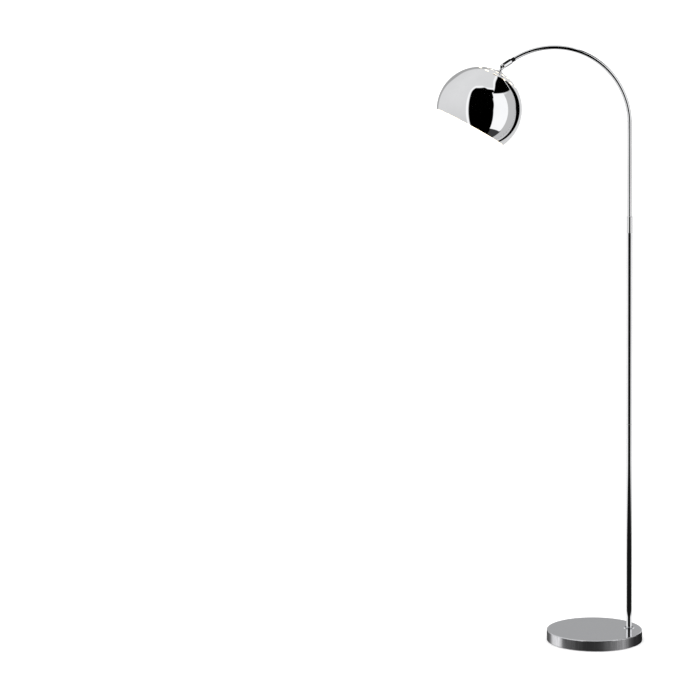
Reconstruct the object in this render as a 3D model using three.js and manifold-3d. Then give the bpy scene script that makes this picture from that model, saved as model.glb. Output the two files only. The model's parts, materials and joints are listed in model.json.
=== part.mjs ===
// Arc floor lamp with an offset pole, a circular arm and a tilting dome shade.
// Millimetres, +Z up. The origin is the centre of the base's underside, on the floor.
// The arm lies in the XZ plane: the pole stands at +X and the shade hangs over -X.
import * as THREE from 'three';
import { mergeVertices } from 'three/addons/utils/BufferGeometryUtils.js';
import Module from 'manifold-3d';

const wasm = await Module();
wasm.setup();

// ---------------------------------------------------------------- driving dimensions
const GAP = 0.3; // clearance between neighbours that touch on the real lamp
const ROUND = 24; // sides of a turned part
const FINE = 48; // sides of a large turned part

const BASE_R = 140;
const BASE_H = 32;
const SHEET = 1.2; // thickness of the base cover
const COVER_FOOT = 1; // the cover stops this far above the floor
const PAD_H = 2;
const PLATE_H = 1.5;
const WEIGHT_Z = 12.3; // underside of the weight
const SCREW_RING_R = 112;
const SCREW_COUNT = 4;
const SCREW_R = 1.7;
const SCREW_HEAD_R = 3.6;
const SCREW_REACH = 6; // how far the base screws go into the weight

const POLE_X = 105;
const POLE_R = 8;
const POLE_BORE_R = 7.2;
const POLE_FOOT_Z = BASE_H + GAP;
const POLE_JOINT_Z = 640;
const POLE_TOP_Z = 1246;
const INSERT_R = POLE_BORE_R - GAP;
const INSERT_LENGTH = 20;
const THREAD_R = 5; // hollow M10 lamp thread
const THREAD_BORE_R = 3.5;
const STUD_Z = 12;

const ARM_R = 6;
const ARM_BORE_R = 5.2;
const ARM_FOOT_Z = 1180;
const ARC_R = 224;
const ARC_Z = 1513; // height of the arc's centre
const ARC_SWEEP = 121.5; // degrees, from the vertical pole to the sloping end
const ARM_TAIL = 24; // straight end of the arm, most of it inside the sleeve
const ARM_STEPS = 28; // one for each straight end, the rest round the arc
const BUSH_LENGTH = 60;
const BUSH_BORE_R = 6.2;

const SLEEVE_R = 7.5;
const SLEEVE_START = 6; // along the arm's straight end
const SLEEVE_LENGTH = 36;
const FORK_SLOT = 6; // width of the slot between the fork's ears
const TONGUE_T = 3.8;
const TONGUE_R = 6;
const BOLT_R = 2;
const BOLT_HEAD_R = 3.6;
const BOLT_HEAD_H = 2.5;
const SEAT_R = 4.4; // flat seats on the fork for the bolt's head and the nut
const SET_SCREW_R = 1.5;
const SET_SCREW_ALONG = 9;
const WASHER_T = 0.8;
const WASHER_CLEARANCE = 0.15;

const SHADE_TILT = 29.8; // degrees, the dome's axis from the vertical
const DOME_R = 121;
const DOME_WALL = 1;
const DOME_SIDES = 36;
const DOME_STEPS = 10; // from rim to crown
const CROWN_T = 18.4; // from the knuckle's axis to the dome's crown
const RIM_DROP = 56.5; // the rim lies this far below the sphere's centre
const CAP_T = 16.2; // top of the crown cap
const NECK_R = 4.5;
const THREAD_STEM_R = 4;
const STEM_BORE_R = 2.5;
const STEM_END_T = 32.5;
const WIRE_WINDOW_T = 12.6; // where the wires leave the stem's neck
const WIRE_R = 1.8;
const HOLDER_T = 26.5; // top of the lamp holder
const HOLDER_R = 20;
const HOLDER_CAP_H = 20;
const HOLDER_CAP_WALL = 1.8;
const HOLDER_SKIRT_R = 17.6; // where the body slips into its cap
const HOLDER_BORE = 13.8;
const HOLDER_FLOOR_T = 37;
const HOLDER_MOUTH_T = 84;
const BULB_CAP_R = 13.2;
const BULB_CAP_TOP_T = 44;
const BULB_CAP_END_T = 72; // where the bulb's metal cap meets its glass
const BULB_NECK_R = 13;
const BULB_END_T = 156;
const BULB_R = 30;
const BULB_WALL = 1;
const SLOTS_PER_RING = 14;
const SLOT_PHASE = 0.25; // of a step, from the front of the dome to the first slot
const SLOT_RINGS = [
  { polar: 19.5, length: 11, width: 6 },
  { polar: 31, length: 14, width: 6.5 },
];

const FLEX_R = 2.5;
const FLEX_SIDES = 8;
const GLAND_Z = 8;
const GLAND_AZIMUTH = 75; // degrees from +X towards +Y, on the back of the base
const GLAND_R = 4; // inside the base's wall
const GLAND_FLANGE_R = 6;
const GLAND_DEPTH = 12; // how far it reaches into the base
const THROUGH = 40; // length of a tool that cuts right through a small part

const rad = THREE.MathUtils.degToRad;

// ---------------------------------------------------------------- finishes
const finish = (color, roughness, metalness) => () =>
  new THREE.MeshStandardMaterial({ color, roughness, metalness });
const chrome = finish(0xd8dadd, 0.06, 1);
const castIron = finish(0x3b3c3e, 0.7, 0.6);
const zincSteel = finish(0xa9acb0, 0.4, 1);
const brass = finish(0xb8923f, 0.35, 1);
const blackPlastic = finish(0x1c1c1e, 0.5, 0);
const greyFoam = finish(0x2c2d2f, 0.95, 0);
const whiteGlass = finish(0xf6f2e8, 0.2, 0);
const aluminium = finish(0xc4c6c8, 0.35, 1);
const flexSheath = finish(0x24272b, 0.6, 0);

// ---------------------------------------------------------------- shape helpers
// A closed mesh as a manifold solid.
function solid(geometry, matrix = new THREE.Matrix4()) {
  const plain = geometry.clone().applyMatrix4(matrix);
  plain.deleteAttribute('normal');
  plain.deleteAttribute('uv');
  const merged = mergeVertices(plain, 1e-4);
  return new wasm.Manifold(
    new wasm.Mesh({
      numProp: 3,
      vertProperties: new Float32Array(merged.attributes.position.array),
      triVerts: new Uint32Array(merged.index.array),
    })
  );
}

function geometryOf(manifold) {
  const mesh = manifold.getMesh();
  const geometry = new THREE.BufferGeometry();
  geometry.setAttribute('position', new THREE.BufferAttribute(mesh.vertProperties, 3));
  geometry.setIndex(new THREE.BufferAttribute(mesh.triVerts, 1));
  return geometry;
}

const cut = (geometry, ...tools) =>
  geometryOf(tools.reduce((body, tool) => body.subtract(solid(tool)), solid(geometry)));
const join = (...pieces) =>
  geometryOf(pieces.slice(1).reduce((body, piece) => body.add(solid(piece)), solid(pieces[0])));

// A turned part about +Z. The profile is a list of [radius, height], anticlockwise.
function turned(profile, sides = ROUND) {
  const points = profile.map(([r, z]) => new THREE.Vector2(r, z));
  return new THREE.LatheGeometry(points, sides).rotateX(Math.PI / 2);
}

const disc = (r, z0, z1, sides = ROUND) => turned([[0, z0], [r, z0], [r, z1], [0, z1]], sides);
const ring = (r, bore, z0, z1, sides = ROUND) =>
  turned([[bore, z0], [r, z0], [r, z1], [bore, z1], [bore, z0]], sides);

// Points on an arc of a circle, as [radius, height] pairs, with its angles in degrees.
function arcPoints(centreR, centreZ, radius, from, to, steps) {
  return Array.from({ length: steps + 1 }, (_, i) => {
    const a = rad(from + ((to - from) * i) / steps);
    return [centreR + radius * Math.cos(a), centreZ + radius * Math.sin(a)];
  });
}

function hexNut(acrossFlats, bore, z0, z1) {
  const outline = new THREE.Shape();
  for (let i = 0; i < 6; i += 1) {
    const a = rad(60 * i);
    const r = acrossFlats / 2 / Math.cos(rad(30));
    outline[i ? 'lineTo' : 'moveTo'](r * Math.cos(a), r * Math.sin(a));
  }
  outline.holes.push(new THREE.Path().absarc(0, 0, bore, 0, 2 * Math.PI, true));
  const depth = z1 - z0;
  return new THREE.ExtrudeGeometry(outline, { depth, bevelEnabled: false, curveSegments: 10 })
    .translate(0, 0, z0);
}

// A curve followed by its own parameter, so that its straight stretches need one step each.
class Route extends THREE.Curve {
  constructor(pointAt, tangentAt) {
    super();
    this.pointAt = pointAt;
    this.tangentAt = tangentAt;
  }

  getPoint(t) {
    return this.pointAt(t);
  }

  getPointAt(t) {
    return this.pointAt(t);
  }

  getTangentAt(t) {
    return this.tangentAt(t);
  }
}

// A round tube, or a rod where the bore is 0, swept along a curve.
function swept(curve, steps, radius, bore, sides) {
  const section = new THREE.Shape();
  const hole = new THREE.Path();
  for (let i = 0; i < sides; i += 1) {
    const a = (2 * Math.PI * i) / sides;
    section[i ? 'lineTo' : 'moveTo'](radius * Math.cos(a), radius * Math.sin(a));
    hole[i ? 'lineTo' : 'moveTo'](bore * Math.cos(-a), bore * Math.sin(-a));
  }
  if (bore > 0) section.holes.push(hole);
  return new THREE.ExtrudeGeometry(section, { steps, extrudePath: curve, bevelEnabled: false });
}

const lamp = new THREE.Group();
const place = (x, z, parent = lamp) => {
  const group = new THREE.Group();
  group.position.set(x, 0, z);
  parent.add(group);
  return group;
};

function add(name, geometry, material, parent = lamp) {
  const mesh = new THREE.Mesh(geometry, material());
  mesh.name = name;
  parent.add(mesh);
  return mesh;
}

// ---------------------------------------------------------------- base
const plateTop = PAD_H + GAP + PLATE_H;
const coverInnerR = BASE_R - SHEET;
const glandAngle = rad(GLAND_AZIMUTH);
const glandOut = new THREE.Vector3(Math.cos(glandAngle), Math.sin(glandAngle), 0);

// Turns a part made about +Z so that +Z points out of the base at the gland.
function atGland(geometry) {
  const turn = new THREE.Quaternion().setFromUnitVectors(new THREE.Vector3(0, 0, 1), glandOut);
  return geometry.applyQuaternion(turn).translate(0, 0, GLAND_Z);
}

function baseCover() {
  const edge = 2.5;
  const top = BASE_H;
  const shell = turned(
    [
      [0, top - SHEET],
      ...arcPoints(BASE_R - edge, top - edge, edge - SHEET, 90, 0, 3),
      [coverInnerR, COVER_FOOT],
      [BASE_R, COVER_FOOT],
      ...arcPoints(BASE_R - edge, top - edge, edge, 0, 90, 4),
      [0, top],
    ],
    FINE
  );
  const studHole = disc(THREAD_R + GAP, BASE_H / 2, BASE_H + THROUGH).translate(POLE_X, 0, 0);
  const glandHole = atGland(disc(GLAND_R + GAP, BASE_R - THROUGH / 2, BASE_R + THROUGH / 2, 16));
  return cut(shell, studHole, glandHole);
}

const weightTop = BASE_H - SHEET - GAP;
const nutPocketTop = WEIGHT_Z + 6.5;
const screwSpots = Array.from({ length: SCREW_COUNT }, (_, i) => {
  const a = rad(30 + (360 * i) / SCREW_COUNT);
  return [SCREW_RING_R * Math.cos(a), SCREW_RING_R * Math.sin(a)];
});

function baseWeight() {
  const chamfer = 2;
  const pocketR = 15;
  const r = coverInnerR - 1;
  const block = turned(
    [
      [0, WEIGHT_Z],
      [r, WEIGHT_Z],
      [r, weightTop - chamfer],
      [r - chamfer, weightTop],
      [0, weightTop],
    ],
    FINE
  );
  const studHole = disc(THREAD_R + GAP, 0, BASE_H).translate(POLE_X, 0, 0);
  const nutPocket = disc(pocketR, 0, nutPocketTop).translate(POLE_X, 0, 0);
  const threadTop = WEIGHT_Z + SCREW_REACH + 2;
  const threads = screwSpots.map(([x, y]) => disc(SCREW_R + GAP, 0, threadTop, 12).translate(x, y, 0));
  return cut(block, studHole, nutPocket, ...threads);
}

function basePlate() {
  const holes = screwSpots.map(([x, y]) => disc(SCREW_R + GAP, 0, 6, 12).translate(x, y, 0));
  return cut(disc(BASE_R - 14, PAD_H + GAP, plateTop, FINE), ...holes);
}

// The pad clears the screw heads in pockets of its own.
function basePad() {
  const skin = 0.6; // foam left under each head
  const pocketR = SCREW_HEAD_R + 0.7;
  const pockets = screwSpots.map(([x, y]) => disc(pocketR, skin, 2 * PAD_H, 12).translate(x, y, 0));
  return cut(disc(BASE_R - 4, 0, PAD_H, FINE), ...pockets);
}

function baseScrew() {
  const headZ = 0.9;
  const end = WEIGHT_Z + SCREW_REACH;
  return turned(
    [
      [0, headZ],
      [SCREW_HEAD_R, headZ],
      [SCREW_HEAD_R, PAD_H],
      [SCREW_R, PAD_H],
      [SCREW_R, end],
      [0, end],
    ],
    12
  );
}

add('base_cover', baseCover(), chrome);
add('base_weight', baseWeight(), castIron);
add('base_plate', basePlate(), zincSteel);
add('base_pad', basePad(), greyFoam);
screwSpots.forEach(([x, y], i) => {
  add(`base_screw_${i + 1}`, baseScrew(), zincSteel).position.set(x, y, 0);
});

// The cord outlet: a flanged bush with a bore for the flex.
function cordGland() {
  const face = BASE_R + GAP;
  const bore = FLEX_R + GAP;
  const flangeT = 1;
  const nose = 4; // how far the mouth stands out
  const noseR = 4.6;
  return atGland(
    turned(
      [
        [bore, face - GLAND_DEPTH],
        [GLAND_R, face - GLAND_DEPTH],
        [GLAND_R, face],
        [GLAND_FLANGE_R, face],
        [GLAND_FLANGE_R, face + flangeT],
        [noseR, face + nose],
        [bore, face + nose],
        [bore, face - GLAND_DEPTH],
      ],
      16
    )
  );
}
add('cord_gland', cordGland(), blackPlastic);

// ---------------------------------------------------------------- pole
const pole = place(POLE_X, 0);
const insert = (z0, z1) => ring(INSERT_R, THREAD_R + GAP, z0, z1);
const tube = (z0, z1) => ring(POLE_R, POLE_BORE_R, z0, z1);

const washerZ = nutPocketTop - GAP;
const washerFoot = washerZ - 1.2;
add('stud_washer', ring(9, THREAD_R + GAP, washerFoot, washerZ), zincSteel, pole);
add('stud_nut', hexNut(17, THREAD_R + GAP, STUD_Z, washerFoot - GAP), zincSteel, pole);
const threadReach = INSERT_LENGTH - 2; // how far a threaded tube goes into an insert
const studTop = POLE_FOOT_Z + threadReach;
add('pole_stud', ring(THREAD_R, THREAD_BORE_R, STUD_Z, studTop), zincSteel, pole);
add('foot_insert', insert(POLE_FOOT_Z, POLE_FOOT_Z + INSERT_LENGTH), zincSteel, pole);
add('pole_tube_lower', tube(POLE_FOOT_Z, POLE_JOINT_Z), chrome, pole);
add('lower_joint_insert', insert(POLE_JOINT_Z - INSERT_LENGTH, POLE_JOINT_Z), zincSteel, pole);
const upperFoot = POLE_JOINT_Z + GAP;
const nippleFoot = POLE_JOINT_Z - threadReach;
const nipple = ring(THREAD_R, THREAD_BORE_R, nippleFoot, upperFoot + threadReach);
add('pole_nipple', nipple, zincSteel, pole);
add('upper_joint_insert', insert(upperFoot, upperFoot + INSERT_LENGTH), zincSteel, pole);
add('pole_tube_upper', tube(upperFoot, POLE_TOP_Z), chrome, pole);

function swivelBush() {
  const lip = POLE_TOP_Z + GAP;
  const lipTop = lip + 2.8;
  const chamfer = 0.8;
  return turned([
    [BUSH_BORE_R, lip - BUSH_LENGTH],
    [INSERT_R, lip - BUSH_LENGTH],
    [INSERT_R, lip],
    [POLE_R, lip],
    [POLE_R, lipTop - chamfer],
    [POLE_R - chamfer, lipTop],
    [BUSH_BORE_R, lipTop],
    [BUSH_BORE_R, lip - BUSH_LENGTH],
  ]);
}
add('swivel_bush', swivelBush(), chrome, pole);

// The flex comes in at the gland, crosses under the weight and turns up into the stud.
function standFlexRoute() {
  const bend = 6;
  const level = (r) => glandOut.clone().multiplyScalar(r).setZ(GLAND_Z);
  const mouth = level(BASE_R - 4);
  const inside = level(BASE_R - 14);
  const turn = level(BASE_R - 34);
  const foot = new THREE.Vector3(POLE_X, 0, GLAND_Z);
  const along = foot.clone().sub(turn).normalize();
  const turnEnd = turn.clone().addScaledVector(along, 30);
  const bendStart = foot.clone().addScaledVector(along, -bend);
  const bendEnd = new THREE.Vector3(POLE_X, 0, GLAND_Z + bend);
  const top = new THREE.Vector3(POLE_X, 0, ARM_FOOT_Z - GAP);
  const route = new THREE.CurvePath();
  route.add(new THREE.LineCurve3(mouth, inside));
  route.add(new THREE.QuadraticBezierCurve3(inside, turn, turnEnd));
  route.add(new THREE.LineCurve3(turnEnd, bendStart));
  route.add(new THREE.QuadraticBezierCurve3(bendStart, foot, bendEnd));
  route.add(new THREE.LineCurve3(bendEnd, top));
  return route;
}

// Equal steps of the curve's own parameter: the same number for each stretch.
function byStretch(path) {
  const count = path.curves.length;
  const locate = (t) => {
    const index = Math.min(Math.floor(t * count), count - 1);
    return [path.curves[index], t * count - index];
  };
  return new Route(
    (t) => {
      const [stretch, u] = locate(t);
      return stretch.getPoint(u);
    },
    (t) => {
      const [stretch, u] = locate(t);
      return stretch.getTangent(u);
    }
  );
}
add('stand_flex', swept(byStretch(standFlexRoute()), 25, FLEX_R, 0, FLEX_SIDES), flexSheath);

// ---------------------------------------------------------------- arm
const arcX = POLE_X - ARC_R;
const endSlope = rad(ARC_SWEEP - 90);
const endDirection = new THREE.Vector3(-Math.cos(endSlope), 0, -Math.sin(endSlope));
const arcEnd = new THREE.Vector3(
  arcX - ARC_R * Math.sin(endSlope),
  0,
  ARC_Z + ARC_R * Math.cos(endSlope)
);

// Up the pole, round the arc and down the straight end, with a share of the steps for each.
function armRoute(footZ, tail) {
  const straightShare = 1 / ARM_STEPS;
  const arcShare = 1 - 2 * straightShare;
  const angleAt = (t) => rad(ARC_SWEEP) * THREE.MathUtils.clamp((t - straightShare) / arcShare, 0, 1);
  return new Route(
    (t) => {
      if (t < straightShare) {
        const z = footZ + ((ARC_Z - footZ) * t) / straightShare;
        return new THREE.Vector3(POLE_X, 0, z);
      }
      if (t > 1 - straightShare) {
        const along = (tail * (t - 1 + straightShare)) / straightShare;
        return arcEnd.clone().addScaledVector(endDirection, along);
      }
      const a = angleAt(t);
      return new THREE.Vector3(arcX + ARC_R * Math.cos(a), 0, ARC_Z + ARC_R * Math.sin(a));
    },
    (t) => {
      const a = angleAt(t);
      return new THREE.Vector3(-Math.sin(a), 0, Math.cos(a));
    }
  );
}

add('arm_tube', swept(armRoute(ARM_FOOT_Z, ARM_TAIL), ARM_STEPS, ARM_R, ARM_BORE_R, 16), chrome);
const arm = place(POLE_X, 0);
const ringTop = POLE_TOP_Z + GAP - BUSH_LENGTH - GAP;
add('arm_retaining_ring', ring(INSERT_R, ARM_R + GAP, ringTop - 2, ringTop), zincSteel, arm);
add(
  'arm_flex',
  swept(armRoute(ARM_FOOT_Z, ARM_TAIL + 2), ARM_STEPS, FLEX_R, 0, FLEX_SIDES),
  flexSheath
);

// ---------------------------------------------------------------- knuckle, on the arm's side
// The sleeve is made about +Z, pointing along the arm's end, with its fork's axis along Y.
const sleeve = place(
  arcEnd.x + endDirection.x * SLEEVE_START,
  arcEnd.z + endDirection.z * SLEEVE_START
);
sleeve.rotation.y = -Math.PI / 2 - endSlope;
const pivotAlong = SLEEVE_LENGTH - SLEEVE_R;
const earFace = SLEEVE_R - 0.9; // the flat seats, cut a little into the round ears

// Turns a part made about +Z so that +Z points to the front, on the knuckle's axis.
const acrossSleeve = (geometry) => geometry.rotateX(Math.PI / 2).translate(0, 0, pivotAlong);

function endSleeve() {
  const edge = 0.6;
  const socketDepth = ARM_TAIL - SLEEVE_START + GAP;
  const rod = turned([
    [0, 0],
    [SLEEVE_R - edge, 0],
    [SLEEVE_R, edge],
    [SLEEVE_R, SLEEVE_LENGTH],
    [0, SLEEVE_LENGTH],
  ]);
  const halfTool = THROUGH / 2;
  const slotFloor = pivotAlong - TONGUE_R - 1;
  const straightPart = new THREE.BoxGeometry(THROUGH, THROUGH, pivotAlong);
  straightPart.translate(0, 0, pivotAlong / 2);
  const roundEnd = acrossSleeve(disc(SLEEVE_R, -halfTool, halfTool));
  const body = solid(rod).intersect(solid(join(straightPart, roundEnd)));
  return cut(
    geometryOf(body),
    disc(ARM_R + GAP, -1, socketDepth),
    disc(FLEX_R + 0.5, 1, THROUGH, 12), // way for the flex
    new THREE.BoxGeometry(THROUGH, FORK_SLOT, THROUGH).translate(0, 0, slotFloor + halfTool),
    acrossSleeve(disc(BOLT_R + GAP, -halfTool, halfTool, 12)),
    acrossSleeve(disc(SEAT_R, earFace, halfTool, 16)),
    acrossSleeve(disc(SEAT_R, -halfTool, -earFace, 16)),
    disc(SET_SCREW_R + GAP, 0, halfTool, 12).rotateX(-Math.PI / 2).translate(0, 0, SET_SCREW_ALONG)
  );
}

const boltHead = earFace + GAP;
const nutH = 3;
function knuckleBolt() {
  const end = -boltHead - nutH - 0.4;
  const top = boltHead + BOLT_HEAD_H;
  return acrossSleeve(
    turned(
      [
        [0, end],
        [BOLT_R, end],
        [BOLT_R, boltHead],
        [BOLT_HEAD_R, boltHead],
        [BOLT_HEAD_R, top - 0.5],
        [BOLT_HEAD_R - 0.6, top],
        [0, top],
      ],
      16
    )
  );
}
const knuckleWasher = (inner) =>
  acrossSleeve(ring(5.5, BOLT_R + GAP, inner, inner + WASHER_T, 16));
const washerInner = TONGUE_T / 2 + WASHER_CLEARANCE;

add('end_sleeve', endSleeve(), chrome, sleeve);
const setScrew = disc(SET_SCREW_R, ARM_R + GAP, SLEEVE_R - 0.2, 12).rotateX(-Math.PI / 2);
add('sleeve_screw', setScrew.translate(0, 0, SET_SCREW_ALONG), zincSteel, sleeve);
add('knuckle_bolt', knuckleBolt(), chrome, sleeve);
const nut = acrossSleeve(hexNut(7, BOLT_R + GAP, -boltHead - nutH, -boltHead));
add('knuckle_nut', nut, chrome, sleeve);
add('knuckle_washer_front', knuckleWasher(washerInner), zincSteel, sleeve);
add('knuckle_washer_back', knuckleWasher(-washerInner - WASHER_T), zincSteel, sleeve);

// ---------------------------------------------------------------- shade
// The shade is made about its own axis, +Z towards the crown, with the knuckle's axis at the
// origin, so a depth T below the knuckle is at height -T.
const shade = place(0, 0, sleeve);
shade.position.z = pivotAlong;
shade.rotation.y = Math.PI / 2 + endSlope + rad(SHADE_TILT);
const hole = THREAD_STEM_R + GAP;
const centreT = CROWN_T + DOME_R;

function knuckleStem() {
  const neckT = SLEEVE_R + 0.7;
  const boreT = 11; // the bore starts this far below the knuckle's axis
  const halfTool = THROUGH / 2;
  const eye = disc(TONGUE_R, -TONGUE_T / 2, TONGUE_T / 2).rotateX(Math.PI / 2);
  const tongue = new THREE.BoxGeometry(2 * NECK_R, TONGUE_T, neckT + 1);
  tongue.translate(0, 0, -(neckT + 1) / 2);
  const stem = turned(
    [
      [0, -STEM_END_T],
      [THREAD_STEM_R, -STEM_END_T],
      [THREAD_STEM_R, GAP - CAP_T],
      [NECK_R, GAP - CAP_T],
      [NECK_R, -neckT],
      [0, -neckT],
    ],
    16
  );
  const bore = disc(STEM_BORE_R, -STEM_END_T - 1, -boreT, 12);
  const wireWindow = disc(WIRE_R, -halfTool, halfTool, 12).rotateY(Math.PI / 2);
  wireWindow.translate(0, 0, -WIRE_WINDOW_T);
  const boltHole = disc(BOLT_R + GAP, -halfTool, halfTool, 12).rotateX(Math.PI / 2);
  return cut(join(eye, tongue, stem), bore, wireWindow, boltHole);
}

function crownCap() {
  const foot = GAP - CROWN_T;
  const footR = 11;
  const topR = 7;
  return turned([
    [hole, foot],
    [footR, foot],
    [footR, foot + 0.7],
    [topR, -CAP_T],
    [hole, -CAP_T],
    [hole, foot],
  ]);
}

// A slot with round ends, long round the dome, cut through the wall at a polar angle.
function ventSlot({ polar, length, width }, azimuth) {
  const outline = new THREE.Shape();
  const straight = (length - width) / 2;
  const depth = 12; // well past the wall on both sides
  outline.absarc(straight, 0, width / 2, rad(-90), rad(90), false);
  outline.absarc(-straight, 0, width / 2, rad(90), rad(270), false);
  return new THREE.ExtrudeGeometry(outline, { depth, bevelEnabled: false, curveSegments: 3 })
    .translate(0, 0, DOME_R - depth / 2)
    .rotateX(rad(polar))
    .rotateZ(rad(azimuth))
    .translate(0, 0, -centreT);
}

function shadeDome() {
  const inner = DOME_R - DOME_WALL;
  const rimAngle = (r) => -THREE.MathUtils.radToDeg(Math.asin(RIM_DROP / r));
  const crownAngle = (r) => THREE.MathUtils.radToDeg(Math.acos((hole + 0.1) / r));
  const outside = arcPoints(0, -centreT, DOME_R, rimAngle(DOME_R), crownAngle(DOME_R), DOME_STEPS);
  const inside = arcPoints(0, -centreT, inner, crownAngle(inner), rimAngle(inner), DOME_STEPS);
  const shell = turned([...outside, ...inside, outside[0]], DOME_SIDES);
  const step = 360 / SLOTS_PER_RING;
  const slots = SLOT_RINGS.flatMap((row) =>
    Array.from({ length: SLOTS_PER_RING }, (_, i) => ventSlot(row, step * (i + SLOT_PHASE)))
  );
  return cut(shell, ...slots);
}

add('knuckle_stem', knuckleStem(), chrome, shade);
add('crown_cap', crownCap(), chrome, shade);
add('shade_dome', shadeDome(), chrome, shade);
const shadeWasherT = CROWN_T + DOME_WALL + 1.2; // its rim clears the curved wall
const shadeWasherFoot = -shadeWasherT - 1;
add('shade_washer', ring(10, hole, shadeWasherFoot, -shadeWasherT), zincSteel, shade);
const stemNutTop = shadeWasherFoot - GAP;
add('stem_nut', hexNut(13, hole, stemNutTop - 4, stemNutTop), zincSteel, shade);

// ---------------------------------------------------------------- lamp holder and bulb
function holderCap() {
  const shoulder = 4; // the cone from the skirt up to the flat top
  const topR = HOLDER_R - 3;
  const wall = HOLDER_CAP_WALL;
  const skirtT = HOLDER_T + HOLDER_CAP_H;
  return turned([
    [HOLDER_R, -skirtT],
    [HOLDER_R, -HOLDER_T - shoulder],
    [topR, -HOLDER_T],
    [hole, -HOLDER_T],
    [hole, -HOLDER_T - wall],
    [topR - wall / 2, -HOLDER_T - wall],
    [HOLDER_R - wall, -HOLDER_T - shoulder],
    [HOLDER_R - wall, -skirtT],
    [HOLDER_R, -skirtT],
  ]);
}

function holderBody() {
  const flangeT = HOLDER_T + HOLDER_CAP_H + GAP;
  const flangeFoot = -flangeT - 5;
  const wire = WIRE_R + 0.4;
  const floorTop = -HOLDER_FLOOR_T + 3;
  return turned([
    [HOLDER_BORE, -HOLDER_MOUTH_T],
    [16.5, -HOLDER_MOUTH_T],
    [18.2, flangeFoot],
    [HOLDER_R, flangeFoot],
    [HOLDER_R, -flangeT],
    [HOLDER_SKIRT_R, -flangeT],
    [HOLDER_SKIRT_R, floorTop],
    [wire, floorTop],
    [wire, -HOLDER_FLOOR_T],
    [HOLDER_BORE, -HOLDER_FLOOR_T],
    [HOLDER_BORE, -HOLDER_MOUTH_T],
  ]);
}

// The centre contact: a disc under the holder's floor with a button towards the bulb.
function holderContact() {
  const top = -HOLDER_FLOOR_T - 1.3;
  const discFoot = top - 1.2;
  const buttonFoot = discFoot - 2.5;
  return turned(
    [[0, buttonFoot], [2.5, buttonFoot], [2.5, discFoot], [6, discFoot], [6, top], [0, top]],
    12
  );
}

// The bulb's screw cap, with the cone of its insulator up to the end contact.
function bulbCap() {
  const coneFoot = -BULB_CAP_TOP_T - 6;
  const coneTop = -BULB_CAP_TOP_T - 2.5;
  return turned(
    [
      [0, -BULB_CAP_END_T],
      [BULB_CAP_R, -BULB_CAP_END_T],
      [BULB_CAP_R, coneFoot],
      [5, coneTop],
      [3.5, -BULB_CAP_TOP_T],
      [0, -BULB_CAP_TOP_T],
    ],
    20
  );
}

// Thin glass, open at the neck where the metal cap closes it.
function bulbGlass() {
  const neckT = BULB_CAP_END_T + GAP;
  const centre = -(BULB_END_T - BULB_R);
  const shoulderR = 16; // where the globe is drawn in towards the neck
  const globe = (r, from, to) => arcPoints(0, centre, r, from, to, 8);
  return turned(
    [
      ...globe(BULB_R, -90, 40),
      [shoulderR, -95],
      [BULB_NECK_R, -86],
      [BULB_NECK_R, -neckT],
      [BULB_NECK_R - BULB_WALL, -neckT],
      [BULB_NECK_R - BULB_WALL, -86.5],
      [shoulderR - BULB_WALL, -95.5],
      ...globe(BULB_R - BULB_WALL, 40, -90),
    ],
    20
  );
}

add('holder_cap', holderCap(), blackPlastic, shade);
add('holder_body', holderBody(), blackPlastic, shade);
add('holder_contact', holderContact(), brass, shade);
add('bulb_cap', bulbCap(), aluminium, shade);
add('bulb_glass', bulbGlass(), whiteGlass, shade);
const shadeFlex = disc(WIRE_R, -HOLDER_FLOOR_T + 1, -WIRE_WINDOW_T, FLEX_SIDES);
add('shade_flex', shadeFlex, flexSheath, shade);

export default lamp;
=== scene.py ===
"""Looks of the arc floor lamp: chromed base, pole, arm and dome shade in a pale studio."""

import json
import math

import bmesh
import bpy
from mathutils import Matrix, Vector


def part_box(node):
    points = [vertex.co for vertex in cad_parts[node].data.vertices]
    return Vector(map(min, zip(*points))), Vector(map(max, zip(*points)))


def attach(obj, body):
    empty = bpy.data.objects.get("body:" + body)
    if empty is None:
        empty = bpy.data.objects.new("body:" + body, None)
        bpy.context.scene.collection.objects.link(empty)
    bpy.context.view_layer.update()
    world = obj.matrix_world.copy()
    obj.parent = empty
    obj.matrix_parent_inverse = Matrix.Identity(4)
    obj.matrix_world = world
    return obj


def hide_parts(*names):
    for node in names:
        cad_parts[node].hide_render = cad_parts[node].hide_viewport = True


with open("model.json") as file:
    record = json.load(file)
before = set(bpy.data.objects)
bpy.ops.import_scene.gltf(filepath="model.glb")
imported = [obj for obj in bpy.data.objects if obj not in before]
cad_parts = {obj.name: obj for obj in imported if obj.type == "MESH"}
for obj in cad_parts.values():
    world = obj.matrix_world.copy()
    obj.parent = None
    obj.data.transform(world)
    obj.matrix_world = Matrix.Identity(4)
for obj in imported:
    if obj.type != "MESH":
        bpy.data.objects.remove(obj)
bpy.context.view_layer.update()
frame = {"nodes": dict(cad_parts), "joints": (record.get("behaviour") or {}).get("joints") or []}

MM = 0.001
DEGREES = 180 / math.pi
SAME_PLACE = 1e-7
ON_AXIS = 1e-9

# ------------------------------------------------------------------ sizes, in metres
JOINT = {j["name"]: j for j in frame["joints"]}
KNUCKLE = Vector(JOINT["shade_tilt"]["pos_m"])
POLE_X = JOINT["arm_swivel"]["pos_m"][0]

BASE_LOW, BASE_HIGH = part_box("base_cover")
BASE_R = (BASE_HIGH.x - BASE_LOW.x) / 2
BASE_TOP = BASE_HIGH.z
BASE_EDGE = 2.4 * MM
SHEET = 1.2 * MM

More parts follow.
